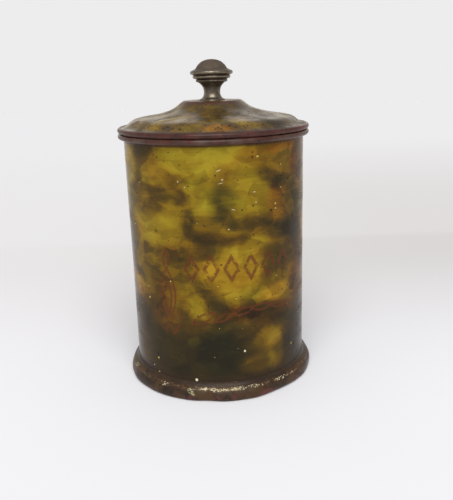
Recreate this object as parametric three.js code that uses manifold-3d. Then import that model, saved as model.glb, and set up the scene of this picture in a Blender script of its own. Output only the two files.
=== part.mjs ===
// A lidded household canister in lacquered tinplate, built as the tinsmith builds it: a rolled
// body with a wired top edge and a pressed base, a moulded foot band round the bottom, and a
// stepped lid with a wired edge, a plug collar and a turned knob held by a screw.
// Millimetres, +Z up, origin at the centre of the footprint on the standing surface.

import * as THREE from "three";
import { mergeVertices } from "three/addons/utils/BufferGeometryUtils.js";
import Module from "manifold-3d";

const wasm = await Module();
wasm.setup();

// Driving dimensions
const BODY_RADIUS = 55;
const SHEET = 0.5;
const FIT_GAP = 0.2;
const BEAD_RADIUS = 1.6;
const BEAD_REACH = 3.4;
const RIM_HEIGHT = 155;
const FOOT_RADIUS = 60;
const FOOT_HEIGHT = 10.4;
const BASE_HEIGHT = 3.9;
const COLLAR_CLEARANCE = 1;
const COLLAR_DEPTH = 11;
const PLATEAU_HEIGHT = 172.7;
const PLATEAU_RADIUS = 18;
const KNOB_TOP = 196.5;
const KNOB_RADIUS = 12.9;
const KNOB_WAIST = 4.9;
const SEAM_WIDTH = 7;
const SCREW_RADIUS = 1.6;
const SCREW_GRIP = 7;
const WASHER_RADIUS = 7;
const WASHER_THICKNESS = 1;
const ROUND_STEPS = 48;
const SMALL_STEPS = 24;

// Sizes that follow from them
const beadCentre = BODY_RADIUS + BEAD_REACH - BEAD_RADIUS;
const bodyBeadHeight = RIM_HEIGHT - BEAD_RADIUS;
const lidBeadHeight = RIM_HEIGHT + FIT_GAP + BEAD_RADIUS;
const beadLine = BEAD_RADIUS - SHEET / 2;
const wireRadius = BEAD_RADIUS - SHEET - 1.25 * FIT_GAP;
const wallLine = BODY_RADIUS - SHEET / 2;
const wallInside = BODY_RADIUS - SHEET;
const screwHole = SCREW_RADIUS + FIT_GAP;
const washerTop = PLATEAU_HEIGHT - SHEET - FIT_GAP;
const washerBottom = washerTop - WASHER_THICKNESS;

const at = (r, z) => new THREE.Vector2(r, z);

// Points on an arc in the section plane, angles in degrees from the outward direction.
function arc(centreR, centreZ, radius, from, to, steps) {
  return Array.from({ length: steps + 1 }, (_, i) => {
    const angle = THREE.MathUtils.degToRad(from + ((to - from) * i) / steps);
    return at(centreR + radius * Math.cos(angle), centreZ + radius * Math.sin(angle));
  });
}

// The section of a bent sheet: its middle line thickened to both sides, as one closed outline.
function sheetSection(line, thickness = SHEET) {
  const side = (sign) =>
    line.map((point, i) => {
      const before = line[Math.max(i - 1, 0)];
      const after = line[Math.min(i + 1, line.length - 1)];
      const arriving = point.clone().sub(before).normalize();
      const leaving = after.clone().sub(point).normalize();
      const along = arriving.clone().add(leaving).normalize();
      const reference = i === 0 ? leaving : arriving;
      const normal = at(-along.y, along.x);
      const flatNormal = at(-reference.y, reference.x);
      const mitre = thickness / 2 / Math.max(normal.dot(flatNormal), 0.5);
      return point.clone().addScaledVector(normal, sign * mitre);
    });
  return [...side(1), ...side(-1).reverse()];
}

// A closed section turned about the Z axis, with its faces outwards.
function turn(section, steps) {
  const outline = THREE.ShapeUtils.area(section) > 0 ? [...section] : [...section].reverse();
  const onAxis = outline.findIndex((p, i) => p.x === 0 && outline.at(i - 1).x === 0);
  const start = Math.max(onAxis, 0);
  const ordered = [...outline.slice(start), ...outline.slice(0, start)];
  if (onAxis < 0) ordered.push(ordered[0].clone());
  return new THREE.LatheGeometry(ordered, steps).rotateX(Math.PI / 2);
}

function toSolid(geometry) {
  const bare = geometry.clone();
  bare.deleteAttribute("normal");
  bare.deleteAttribute("uv");
  const merged = mergeVertices(bare);
  return new wasm.Manifold(
    new wasm.Mesh({
      numProp: 3,
      vertProperties: new Float32Array(merged.attributes.position.array),
      triVerts: new Uint32Array(merged.index.array),
    }),
  );
}

function toGeometry(solid) {
  const mesh = solid.getMesh();
  const geometry = new THREE.BufferGeometry();
  geometry.setAttribute("position", new THREE.BufferAttribute(mesh.vertProperties, 3));
  geometry.setIndex(new THREE.BufferAttribute(mesh.triVerts, 1));
  geometry.computeVertexNormals();
  return geometry;
}

const finish = (color, roughness, metalness) =>
  new THREE.MeshStandardMaterial({ color, roughness, metalness });

const marbledLacquer = finish(0xa0832a, 0.25, 0.1);
const brownLacquer = finish(0x5a352a, 0.3, 0.1);
const bareTinplate = finish(0x8d8a82, 0.4, 0.9);
const ironWire = finish(0x5f5d5a, 0.5, 0.9);
const whiteMetal = finish(0x6b6056, 0.35, 0.85);
const screwSteel = finish(0x77746e, 0.4, 0.95);

const canister = new THREE.Group();

function addPiece(name, geometry, material, group = canister) {
  const mesh = new THREE.Mesh(geometry, material);
  mesh.name = name;
  group.add(mesh);
}

// Body: the wall rises from inside the foot, flares slightly and curls outwards round its wire.
function bodyWall() {
  const flareStart = RIM_HEIGHT - 4.6;
  const line = [
    at(wallLine, SHEET + FIT_GAP),
    at(wallLine, flareStart),
    ...arc(beadCentre, bodyBeadHeight, beadLine, 180, -120, 7),
  ];
  const wall = toSolid(turn(sheetSection(line), ROUND_STEPS));

  // The rolled sheet laps over itself at the back and is soldered there.
  const seamFoot = FOOT_HEIGHT + 1;
  const seamLength = flareStart - seamFoot;
  const lap = new THREE.BoxGeometry(SEAM_WIDTH, 2 * SHEET, seamLength);
  lap.translate(0, BODY_RADIUS, seamFoot + seamLength / 2);
  return toGeometry(wall.add(toSolid(lap)));
}

// A wire ring lies inside each curled edge and stiffens it.
function edgeWire(height) {
  const section = arc(beadCentre, height, wireRadius, 0, 300, 5);
  return turn(section, ROUND_STEPS);
}

// Base: a pressed disc with a turned-down flange soldered inside the wall.
function baseDisc() {
  const flangeLine = wallInside - FIT_GAP - SHEET / 2;
  const bend = 0.9;
  const line = [
    at(flangeLine, SHEET + FIT_GAP),
    at(flangeLine, BASE_HEIGHT - bend),
    at(flangeLine - bend, BASE_HEIGHT),
    at(0, BASE_HEIGHT),
  ];
  return turn(sheetSection(line), ROUND_STEPS);
}

// Foot band: it leaves the wall in a short cove, turns over a ridge, bulges out and is turned
// in flat under the wall, where the canister stands on it.
function footBand() {
  const contact = BODY_RADIUS + FIT_GAP + SHEET / 2;
  const bulge = FOOT_RADIUS - SHEET / 2;
  const ridge = at(BODY_RADIUS + 3.1, 0.7 * FOOT_HEIGHT);
  const lowerRoll = 1.6;
  const standingEdge = wallInside - 2;
  const line = [
    at(contact, FOOT_HEIGHT),
    at(contact + 0.7, FOOT_HEIGHT - 1.1),
    at(ridge.x - 0.9, ridge.y + 0.6),
    ridge,
    at(bulge - 0.45, 0.48 * FOOT_HEIGHT),
    at(bulge, 0.3 * FOOT_HEIGHT),
    ...arc(bulge - lowerRoll, SHEET / 2 + lowerRoll, lowerRoll, 0, -90, 3),
    at(standingEdge, SHEET / 2),
  ];
  return turn(sheetSection(line), ROUND_STEPS);
}

// Lid: flat plateau, hollow sweep, low cone, rounded shoulder, then a curl round its wire.
function lidDome() {
  const top = PLATEAU_HEIGHT - SHEET / 2;
  const rise = top - lidBeadHeight;
  const onLid = (reach, height) => at(reach * BODY_RADIUS, lidBeadHeight + height * rise);
  const sweep = new THREE.SplineCurve([
    at(PLATEAU_RADIUS + 0.9, top - 0.9),
    onLid(0.445, 0.7),
    onLid(0.6, 0.505),
    onLid(0.764, 0.396),
    onLid(0.878, 0.326),
    onLid(0.951, 0.173),
    onLid(0.989, 0.102),
  ]);
  const line = [
    at(screwHole, top),
    at(PLATEAU_RADIUS - 0.6, top),
    ...sweep.getPoints(9),
    ...arc(beadCentre, lidBeadHeight, beadLine, 110, -130, 6),
  ];
  return turn(sheetSection(line), ROUND_STEPS);
}

// Collar: the band under the lid that plugs into the mouth, flanged to the lid at its top and
// turned in slightly at its lower edge to guide it home.
function lidCollar() {
  const bandLine = wallInside - COLLAR_CLEARANCE - SHEET / 2;
  const lowerEdge = RIM_HEIGHT - COLLAR_DEPTH;
  const leadIn = 1.4;
  const line = [
    at(bandLine - 4.1, lidBeadHeight + 3.3),
    at(bandLine - 1.1, lidBeadHeight + 1.5),
    at(bandLine, lidBeadHeight + 0.4),
    at(bandLine, lowerEdge + leadIn),
    at(bandLine - 0.7 * leadIn, lowerEdge),
  ];
  return turn(sheetSection(line), ROUND_STEPS);
}

// Knob: flared foot, narrow waist, three stacked beads and a low domed top, drilled for a screw.
function knob() {
  const seat = PLATEAU_HEIGHT + FIT_GAP / 2;
  const drilling = seat + SCREW_GRIP + 1;
  const stem = new THREE.SplineCurve([
    at(KNOB_WAIST + 2.7, seat),
    at(KNOB_WAIST + 0.8, seat + 1.7),
    at(KNOB_WAIST, seat + 4.4),
    at(KNOB_WAIST + 0.8, seat + 7.9),
    at(KNOB_WAIST + 3, seat + 10.3),
  ]);
  const crown = new THREE.SplineCurve([
    at(KNOB_RADIUS - 2, KNOB_TOP - 6),
    at(KNOB_RADIUS - 4.2, KNOB_TOP - 4.1),
    at(KNOB_RADIUS - 6.7, KNOB_TOP - 2),
    at(KNOB_RADIUS - 9.5, KNOB_TOP - 0.6),
    at(0, KNOB_TOP),
  ]);
  const section = [
    at(0, drilling),
    at(screwHole, drilling),
    at(screwHole, seat),
    ...stem.getPoints(8),
    ...arc(KNOB_RADIUS - 4.2, KNOB_TOP - 12.3, 0.9, -60, 60, 2),
    ...arc(KNOB_RADIUS - 2.6, KNOB_TOP - 10.1, 1.1, -60, 60, 2),
    ...arc(KNOB_RADIUS - 1.2, KNOB_TOP - 7.7, 1.2, -70, 70, 4),
    ...crown.getPoints(6),
  ];
  return turn(section, SMALL_STEPS);
}

// Screw: a shank up through washer and lid into the knob, with a low round head below.
function knobScrew() {
  const headTop = washerBottom - FIT_GAP;
  const headRadius = 3.4;
  const headDepth = 2;
  const shankTop = PLATEAU_HEIGHT + SCREW_GRIP;
  const section = [
    at(0, headTop - headDepth),
    at(headRadius - 1.5, headTop - 0.9 * headDepth),
    at(headRadius - 0.2, headTop - 0.5 * headDepth),
    at(headRadius, headTop),
    at(SCREW_RADIUS, headTop),
    at(SCREW_RADIUS, shankTop - 1),
    at(SCREW_RADIUS - 0.9, shankTop),
    at(0, shankTop),
  ];
  return turn(section, SMALL_STEPS);
}

function knobWasher() {
  const section = [
    at(screwHole, washerBottom),
    at(WASHER_RADIUS, washerBottom),
    at(WASHER_RADIUS, washerTop),
    at(screwHole, washerTop),
  ];
  return turn(section, SMALL_STEPS);
}

const lid = new THREE.Group();
canister.add(lid);

addPiece("body_shell", bodyWall(), marbledLacquer);
addPiece("body_rim_wire", edgeWire(bodyBeadHeight), ironWire);
addPiece("bottom_disc", baseDisc(), bareTinplate);
addPiece("foot_band", footBand(), brownLacquer);
addPiece("lid_dome", lidDome(), marbledLacquer, lid);
addPiece("lid_rim_wire", edgeWire(lidBeadHeight), ironWire, lid);
addPiece("lid_collar", lidCollar(), bareTinplate, lid);
addPiece("knob", knob(), whiteMetal, lid);
addPiece("knob_washer", knobWasher(), bareTinplate, lid);
addPiece("knob_screw", knobScrew(), screwSteel, lid);

export default canister;
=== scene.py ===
import math

import bmesh
import bpy
import numpy as np
from mathutils import Matrix, Vector


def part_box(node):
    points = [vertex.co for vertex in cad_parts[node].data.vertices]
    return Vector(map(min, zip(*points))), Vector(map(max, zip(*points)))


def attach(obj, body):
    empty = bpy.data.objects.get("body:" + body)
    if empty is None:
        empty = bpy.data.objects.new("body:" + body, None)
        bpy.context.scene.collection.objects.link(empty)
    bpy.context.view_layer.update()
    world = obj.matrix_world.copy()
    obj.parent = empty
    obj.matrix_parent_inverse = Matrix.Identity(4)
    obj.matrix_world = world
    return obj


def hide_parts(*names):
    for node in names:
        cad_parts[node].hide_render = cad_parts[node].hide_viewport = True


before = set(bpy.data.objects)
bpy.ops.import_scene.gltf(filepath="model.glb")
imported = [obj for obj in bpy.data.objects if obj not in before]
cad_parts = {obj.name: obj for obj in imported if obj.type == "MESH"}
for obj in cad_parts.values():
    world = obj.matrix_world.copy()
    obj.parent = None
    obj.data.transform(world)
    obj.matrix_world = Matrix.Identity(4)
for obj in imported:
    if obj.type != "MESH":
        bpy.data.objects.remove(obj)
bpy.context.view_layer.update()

# A lidded kitchen canister in marbled lacquered tinplate. Metres; the axis of every turned
# piece is Z, and angles run round it from the front (-Y) towards the right (+X).

MM = 0.001
SHEET = 0.5 * MM
GAP = 0.2 * MM
BEAD = 1.6 * MM
WIRE = 0.95 * MM
SCREW_HOLE = 1.8 * MM
WALL_FOOT = 0.7 * MM
ON_AXIS = 1e-9
ROUND = 320
SMALL_ROUND = 160


# ------------ sizes taken from the frame

def top_of(node):
    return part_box(node)[1].z


def bottom_of(node):
    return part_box(node)[0].z


def radius_of(node):
    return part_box(node)[1].x


wall_inside = radius_of("bottom_disc") + GAP
wall_line = wall_inside + SHEET / 2
wall_outside = wall_inside + SHEET
rim_top = top_of("body_shell")
bead_centre = radius_of("body_shell") - BEAD
body_bead_height = rim_top - BEAD
lid_bead_height = bottom_of("lid_dome") + BEAD
plateau = top_of("lid_dome")
foot_radius = radius_of("foot_band")
foot_top = top_of("foot_band")
foot_ridge = 0.7 * foot_top
knob_seat = bottom_of("knob")
knob_top = top_of("knob")
knob_radius = radius_of("knob")


# ------------ outlines and turned meshes

def arc(centre_r, centre_z, radius, start, end, steps):
    """Points (radius, height) on an arc; angles in degrees from the outward direction."""
    turn = np.radians(np.linspace(start, end, steps + 1))
    return np.column_stack((centre_r + radius * np.cos(turn), centre_z + radius * np.sin(turn)))


def line(start, end, steps):
    return np.linspace(start, end, steps + 1)


def near(radius, height, *offsets):
    """Points at the given offsets, in millimetres outwards and up, from a point."""
    return [(radius + out * MM, height + up * MM) for out, up in offsets]


def curve_through(points, steps):
    """A smooth line through the points, with the given number of steps between each pair."""
    p = np.array(points, float)
    padded = np.vstack((p[:1], p, p[-1:]))
    t = np.linspace(0, 1, steps, endpoint=False)[:, None]
    parts = []
    for i in range(len(p) - 1):
        a, b, c, d = padded[i : i + 4]
        slope_b, slope_c = (c - a) / 2, (d - b) / 2
        cubic = 2 * b - 2 * c + slope_b + slope_c
        square = -3 * b + 3 * c - 2 * slope_b - slope_c
        parts.append(b + slope_b * t + square * t**2 + cubic * t**3)
    return np.vstack((*parts, p[-1:]))


def sheet_outline(middle, thickness=SHEET):
    """A bent sheet's section from its middle line: its left side, then its right side back.
    thickness is one value, or one for each point of the line."""
    middle = np.array(middle)
    thickness = np.broadcast_to(thickness, len(middle))[:, None]
    step = np.diff(middle, axis=0)
    step /= np.linalg.norm(step, axis=1)[:, None]
    along = np.vstack((step[:1], step[:-1] + step[1:], step[-1:]))
    along /= np.linalg.norm(along, axis=1)[:, None]
    normal = np.column_stack((-along[:, 1], along[:, 0]))
    left = middle + normal * thickness / 2
    right = middle - normal * thickness / 2
    return np.vstack((left, right[::-1]))


def new_piece(name, data):
    """A new object in the scene, at the origin and unturned."""
    piece = bpy.data.objects.new(name, data)
    bpy.context.scene.collection.objects.link(piece)
    return piece


def new_mesh(name, points, faces, edges=()):
    mesh = bpy.data.meshes.new(name)
    mesh.from_pydata([tuple(p) for p in points], edges, faces)
    return mesh


def smooth_but_sharp_at(mesh, degrees):
    mesh.shade_smooth()
    mesh.set_sharp_from_angle(angle=math.radians(degrees))


def lathe(name, outline, steps=ROUND, shape=None, skin=None):
    """A piece turned from an outline. An outline that starts on the axis ends on it too, and
    any other closes on itself. shape moves its points, and skin gives each stretch of the
    outline its material number."""
    outline = np.array(outline, float)
    count = len(outline)
    solid = outline[0, 0] < ON_AXIS
    skin = np.zeros(count, int) if skin is None else np.array(skin)
    nearby = np.roll(outline, -1, axis=0)
    area = (outline[:, 0] * nearby[:, 1] - nearby[:, 0] * outline[:, 1]).sum()
    if area < 0:
        outline, skin = outline[::-1], np.roll(skin[::-1], -1)
    angle = np.arange(steps) * 2 * math.pi / steps
    radius, height = (np.repeat(outline[:, i : i + 1], steps, axis=1) for i in (0, 1))
    if shape:
        radius, height = shape(np.broadcast_to(angle, radius.shape), radius, height)
    points = np.stack((radius * np.sin(angle), -radius * np.cos(angle), height), axis=2)
    number = np.arange(count * steps).reshape(count, steps)
    if solid:
        for pole in (0, -1):
            number[pole] = number[pole, 0]
            points[pole, :, :2] = 0
    following = np.roll(number, -1, axis=1)
    faces, slots = [], []
    for i in range(count - 1 if solid else count):
        j = (i + 1) % count
        for corners in zip(number[i], following[i], following[j], number[j]):
            faces.append(list(dict.fromkeys(corners)))
            slots.append(skin[i])
    used = np.unique(number)
    place = np.full(count * steps, -1)
    place[used] = np.arange(len(used))
    faces = [[int(place[v]) for v in face] for face in faces]
    mesh = new_mesh(name, points.reshape(-1, 3)[used], faces)
    mesh.polygons.foreach_set("material_index", np.array(slots, np.int32))
    smooth_but_sharp_at(mesh, 50)
    mesh.update()
    return new_piece(name, mesh)


def plain_mesh(piece):
    """Keeps what the piece's modifiers make of it as its mesh, and takes the modifiers off."""
    made = bpy.data.meshes.new_from_object(piece.evaluated_get(bpy.context.evaluated_depsgraph_get()))
    piece.modifiers.clear()
    piece.data = made
    return piece


def settle(piece, body, slot, *nodes, materials=()):
    """Gives a finished piece its materials and its body, and hides the frame's nodes that it stands for; the
    record slot is not used.
    """
    for material in materials:
        piece.data.materials.append(material)
    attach(piece, body)
    if nodes:
        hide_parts(*nodes)


# ------------ shader building tools

ZERO = (0.0, 0.0, 0.0)


def shade(red, green, blue):
    """A colour given as it looks on a screen, 0 to 255, in the linear values that shaders use."""
    parts = [c / 255 for c in (red, green, blue)]
    return tuple(c / 12.92 if c <= 0.04045 else ((c + 0.055) / 1.055) ** 2.4 for c in parts) + (1,)


class Board:
    """A node tree being wired up. Most methods add a node and return the socket it puts out."""

    def __init__(self, tree):
        self.tree = tree

    def feed(self, socket, value):
        if isinstance(value, bpy.types.NodeSocket):
            self.tree.links.new(value, socket)
        elif value is not None:
            socket.default_value = value

    def feed_all(self, sockets, values):
        """Feeds the sockets that the values are named after, with _ for a space."""
        for label, value in values.items():
            self.feed(sockets[label.replace("_", " ")], value)

    def add(self, kind, *values, out=0, **settings):
        node = self.tree.nodes.new(kind)
        for key, value in settings.items():
            setattr(node, key, value)
        for socket, value in zip(node.inputs, values):
            self.feed(socket, value)
        return node.outputs[out]

    def place(self, kind, **values):
        """Adds a node, feeds the inputs that are named and returns all its outputs."""
        node = self.tree.nodes.new(kind)
        self.feed_all(node.inputs, values)
        return node.outputs

    def use(self, group, **values):
        """Adds a node group, feeds the inputs that are named and returns all its outputs."""
        node = self.tree.nodes.new("ShaderNodeGroup")
        node.node_tree = group
        self.feed_all(node.inputs, values)
        return node.outputs

    def give(self, **values):
        """Ends a group: puts out the values that are named and returns its tree."""
        self.feed_all(self.result, values)
        return self.tree

    def math(self, operation, *values):
        return self.add("ShaderNodeMath", *values, operation=operation)

    def times(self, value, factor):
        return self.math("MULTIPLY", value, factor)

    def times_plus(self, value, factor, rest):
        """value times factor, plus rest."""
        return self.math("MULTIPLY_ADD", value, factor, rest)

    def vector(self, operation, *values, out=0):
        return self.add("ShaderNodeVectorMath", *values, operation=operation, out=out)

    def scaled(self, vector, factor):
        return self.add("ShaderNodeVectorMath", vector, None, None, factor, operation="SCALE")

    def join(self, *values):
        return self.add("ShaderNodeCombineXYZ", *values)

    def parts(self, vector):
        """The three parts of a vector."""
        return self.add("ShaderNodeSeparateXYZ", vector).node.outputs

    def span(self, value, low, high, to_low=0.0, to_high=1.0, soft=True):
        """value taken from low..high to to_low..to_high, held at both ends."""
        kind = "SMOOTHSTEP" if soft else "LINEAR"
        return self.add("ShaderNodeMapRange", value, low, high, to_low, to_high, interpolation_type=kind)

    def noise(self, vector, scale, detail=3.0, rough=0.5, distortion=0.0, out=0):
        return self.place(
            "ShaderNodeTexNoise",
            Vector=vector, Scale=scale, Detail=detail, Roughness=rough, Distortion=distortion,
        )[out]

    def swing(self, *values):
        """Noise about zero, -0.5 to 0.5."""
        return self.math("SUBTRACT", self.noise(*values), 0.5)

    def wander(self, vector, scale):
        """A smooth random shift, -0.5 to 0.5 each way."""
        return self.vector("SUBTRACT", self.noise(vector, scale, 4.0, 0.55, out=1), (0.5, 0.5, 0.5))

    def mix(self, factor, first, second, blend="MIX"):
        node = self.tree.nodes.new("ShaderNodeMix")
        node.data_type = "RGBA"
        node.blend_type = blend
        for number, value in ((0, factor), (6, first), (7, second)):
            self.feed(node.inputs[number], value)
        return node.outputs[2]

    def paint(self, under, mask, share, *color):
        """Lays a colour over another where the mask is, as strongly as the share."""
        return self.mix(self.times(mask, share), under, shade(*color))

    def ramp(self, value, *stops):
        """Colours along a ramp; each stop is its position and its colour."""
        node = self.tree.nodes.new("ShaderNodeValToRGB")
        self.feed(node.inputs[0], value)
        points = node.color_ramp.elements
        while len(points) < len(stops):
            points.new(1.0)
        for point, (position, *color) in zip(points, stops):
            point.position = position
            point.color = shade(*color)
        return node.outputs[0]


def inside(tree):
    """The board of a group's tree, with what the group is given and what it puts out."""
    board = Board(tree)
    board.given = tree.nodes.new("NodeGroupInput").outputs
    board.result = tree.nodes.new("NodeGroupOutput").inputs
    return board


def new_group(name, inputs, outputs):
    """A shader node group with named inputs (label: default) and outputs (label: kind)."""
    tree = bpy.data.node_groups.new(name, "ShaderNodeTree")
    for label, default in inputs.items():
        kind = "NodeSocketVector" if isinstance(default, tuple) else "NodeSocketFloat"
        tree.interface.new_socket(label, in_out="INPUT", socket_type=kind).default_value = default
    for label, kind in outputs.items():
        tree.interface.new_socket(label, in_out="OUTPUT", socket_type="NodeSocket" + kind)
    return inside(tree)


def new_material(name, specular=0.5):
    material = bpy.data.materials.new(name)
    material.use_nodes = True
    board = Board(material.node_tree)
    board.material = material
    board.shader = material.node_tree.nodes["Principled BSDF"].inputs
    board.shader["Specular IOR Level"].default_value = specular
    return board


def finish_material(board, color, roughness, height=None, relief=0.0, metallic=0.0):
    """Connects what a material works out; height is a 0 to 1 relief that deep."""
    board.feed_all(board.shader, {"Base Color": color, "Roughness": roughness, "Metallic": metallic})
    if height is not None:
        bump = board.place("ShaderNodeBump", Distance=relief, Height=height)
        board.feed(board.shader["Normal"], bump[0])
    return board.material


# ------------ shared effects

def make_unrolled():
    """Where a point lies on the wall laid flat, in millimetres: round it, up it, off the axis."""
    b = new_group("unrolled", {"Wall Radius": 55.0}, {"Flat": "Vector", "Round": "Vector"})
    place = b.scaled(b.add("ShaderNodeTexCoord", out=3), 1 / MM)
    x, y, z = b.parts(place)
    across = b.times(b.math("ARCTAN2", x, b.times(y, -1.0)), b.given["Wall Radius"])
    off_axis = b.vector("LENGTH", b.join(x, y), out=1)
    return b.give(Flat=b.join(across, z, off_axis), Round=place)


def from_centre(b):
    """Where a point lies from a mark's centre, along and across the way that the mark is turned."""
    offset = b.vector("MULTIPLY", b.vector("SUBTRACT", b.given["Flat"], b.given["Centre"]), (1, 1, 0))
    turned = b.add("ShaderNodeVectorRotate", offset, rotation_type="Z_AXIS")
    b.feed(turned.node.inputs["Angle"], b.given["Turn"])
    return turned


def make_cloud_dab():
    """One soft dab of glaze: adds its tone and warmth, inside a turned ellipse, to the sum."""
    b = new_group(
        "cloud_dab",
        {
            "Flat": ZERO, "Centre": ZERO, "Turn": 0.0, "Size": (10.0, 10.0, 1.0), "Glaze": ZERO,
            "Firm": 0.5, "Sum": ZERO,
        },
        {"Sum": "Vector"},
    )
    apart = b.vector("LENGTH", b.vector("DIVIDE", from_centre(b), b.given["Size"]), out=1)
    glaze = b.scaled(b.given["Glaze"], b.span(apart, 1.3, b.given["Firm"]))
    return b.give(Sum=b.vector("ADD", glaze, b.given["Sum"]))


def make_specks():
    """Small separate specks: one in each cell of a grid of the given pitch, if it is chosen."""
    b = new_group("specks", {"Place": ZERO, "Pitch": 3.0, "Share": 0.3, "Size": 0.2}, {"Specks": "Float"})
    place = b.given["Place"]
    ragged = b.vector("MULTIPLY_ADD", b.noise(place, 1.1, 2.0, out=1), (0.9, 0.9, 0.9), place)
    cells = b.place("ShaderNodeTexVoronoi", Vector=b.vector("DIVIDE", ragged, b.given["Pitch"]), Scale=1.0)
    luck = b.parts(cells["Color"])
    chosen = b.math("LESS_THAN", luck[0], b.given["Share"])
    size = b.times(b.given["Size"], b.times_plus(luck[1], 0.8, 0.5))
    spot = b.span(cells["Distance"], size, b.times(size, 0.5))
    return b.give(Specks=b.times(spot, chosen))


def dots(b, place, pitch, share, size):
    return b.use(specks, Place=place, Pitch=pitch, Share=share, Size=size)["Specks"]


def make_lacquer_surface():
    """Fine marks in old lacquer: brush streaks, pits, pale crumbs, smears and scratches."""
    b = new_group(
        "lacquer_surface",
        {"Round": ZERO, "Flat": ZERO, "Pit Share": 0.3, "Crumb Share": 0.1},
        dict.fromkeys(("Streaks", "Pits", "Crumbs", "Smears", "Scratches", "Height"), "Float"),
    )
    around, flat = b.given["Round"], b.given["Flat"]
    streaks = b.noise(b.vector("MULTIPLY", flat, (0.06, 1.3, 1.0)), 1.0, 5.0, 0.65)
    gathered = b.span(b.noise(around, 0.06, 3.0, 0.6), 0.38, 0.66)
    share = b.times(b.given["Pit Share"], gathered)
    large_pits = dots(b, b.scaled(around, 1.07), 3.7, b.times(share, 0.7), 0.27)
    pits = b.math("MAXIMUM", dots(b, around, 2.1, share, 0.3), large_pits)
    crumbs = dots(b, b.scaled(around, 0.93), 3.2, b.times(b.given["Crumb Share"], gathered), 0.24)
    smears = b.span(b.noise(b.vector("MULTIPLY", flat, (0.03, 0.08, 1.0)), 1.0, 5.0, 0.65), 0.35, 0.7)
    thread = b.swing(b.vector("MULTIPLY", flat, (0.04, 0.5, 1.0)), 1.0, 1.0, 0.3)
    scratch_line = b.span(b.math("ABSOLUTE", thread), 0.004, 0.001)
    scratches = b.times(scratch_line, b.span(b.noise(around, 0.06, 2.0), 0.55, 0.7))
    height = b.times(b.noise(around, 0.12, 2.0), 0.7)
    grain = b.noise(around, 1.6, 2.0)
    for mark, depth in ((grain, 0.05), (streaks, 0.12), (pits, -0.5), (crumbs, 0.5), (scratches, -0.15)):
        height = b.times_plus(mark, depth, height)
    return b.give(
        Streaks=streaks, Pits=pits, Crumbs=crumbs, Smears=smears, Scratches=scratches, Height=height,
    )


def make_grime():
    """Dirt and darkening that thickens towards a height, broken up by noise."""
    b = new_group(
        "grime",
        {"Round": ZERO, "Height": 0.0, "Full At": 0.0, "Gone At": 10.0, "Ragged": 4.0},
        {"Grime": "Float"},
    )
    level = b.times_plus(b.swing(b.given["Round"], 0.16, 4.0, 0.6), b.given["Ragged"], b.given["Height"])
    return b.give(Grime=b.span(level, b.given["Gone At"], b.given["Full At"]))


def make_metal_wear():
    """Stains, fine turning lines and speckle on bare metal."""
    b = new_group(
        "metal_wear",
        {"Round": ZERO, "Line Spacing": 0.4, "Stain Size": 9.0},
        {"Stain": "Float", "Lines": "Float", "Speckle": "Float"},
    )
    around = b.given["Round"]
    stain = b.noise(b.vector("DIVIDE", around, b.given["Stain Size"]), 1.0, 5.0, 0.62, 0.4)
    x, y, z = b.parts(around)
    ring = b.join(b.vector("LENGTH", b.join(x, y), out=1), z)
    lines = b.noise(b.vector("DIVIDE", ring, b.given["Line Spacing"]), 1.0, 2.0)
    return b.give(Stain=b.span(stain, 0.35, 0.7), Lines=lines, Speckle=b.noise(around, 2.2, 2.0, 0.6))


unrolled = make_unrolled()
cloud_dab = make_cloud_dab()
specks = make_specks()
lacquer_surface = make_lacquer_surface()
grime = make_grime()
metal_wear = make_metal_wear()


# ------------ painted ornament

def draw_stroke(b, from_line):
    """Ends a group that draws: adds a stroke along its line to what is drawn already."""
    mark = b.span(b.math("ABSOLUTE", from_line), b.given["Stroke"], b.times(b.given["Stroke"], 0.4))
    return b.give(Drawn=b.math("MAXIMUM", mark, b.given["Drawn"]))


def make_lozenge():
    """The outline of one lozenge on the flat wall."""
    b = new_group(
        "lozenge_outline",
        {"Flat": ZERO, "Centre": ZERO, "Half Size": (4.0, 6.0, 1.0), "Stroke": 0.2, "Drawn": 0.0},
        {"Drawn": "Float"},
    )
    offset = b.vector("ABSOLUTE", b.vector("SUBTRACT", b.given["Flat"], b.given["Centre"]))
    share = b.vector("DIVIDE", offset, b.given["Half Size"])
    reach = b.vector("DOT_PRODUCT", share, (1, 1, 0), out=1)
    return draw_stroke(b, b.math("SUBTRACT", reach, 1.0))


def make_almond():
    """The outline of an almond leaf: where two equal circles overlap."""
    b = new_group(
        "almond_outline",
        {
            "Flat": ZERO, "Centre": ZERO, "Turn": 0.0, "Arc Radius": 10.0, "Arc Offset": 7.0,
            "Stroke": 0.7, "Drawn": 0.0,
        },
        {"Drawn": "Float"},
    )
    place = from_centre(b)
    side = b.join(b.given["Arc Offset"])
    near_arc = b.vector("DISTANCE", place, side, out=1)
    far_arc = b.vector("DISTANCE", place, b.scaled(side, -1.0), out=1)
    return draw_stroke(b, b.math("SUBTRACT", b.math("MAXIMUM", near_arc, far_arc), b.given["Arc Radius"]))


lozenge_outline = make_lozenge()
almond_outline = make_almond()

DEGREE = math.radians(1) * wall_outside / MM


def almond(b, flat, drawn, centre, turn, length, breadth, stroke):
    """Draws one almond leaf, given in degrees round the wall and millimetres up it."""
    half_l, half_b = length / 2, breadth / 2
    radius = (half_l**2 + half_b**2) / (2 * half_b)
    return b.use(
        almond_outline, Flat=flat, Centre=(centre[0] * DEGREE, centre[1], 0), Turn=math.radians(turn),
        Arc_Radius=radius, Arc_Offset=radius - half_b, Stroke=stroke, Drawn=drawn,
    )["Drawn"]


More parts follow.
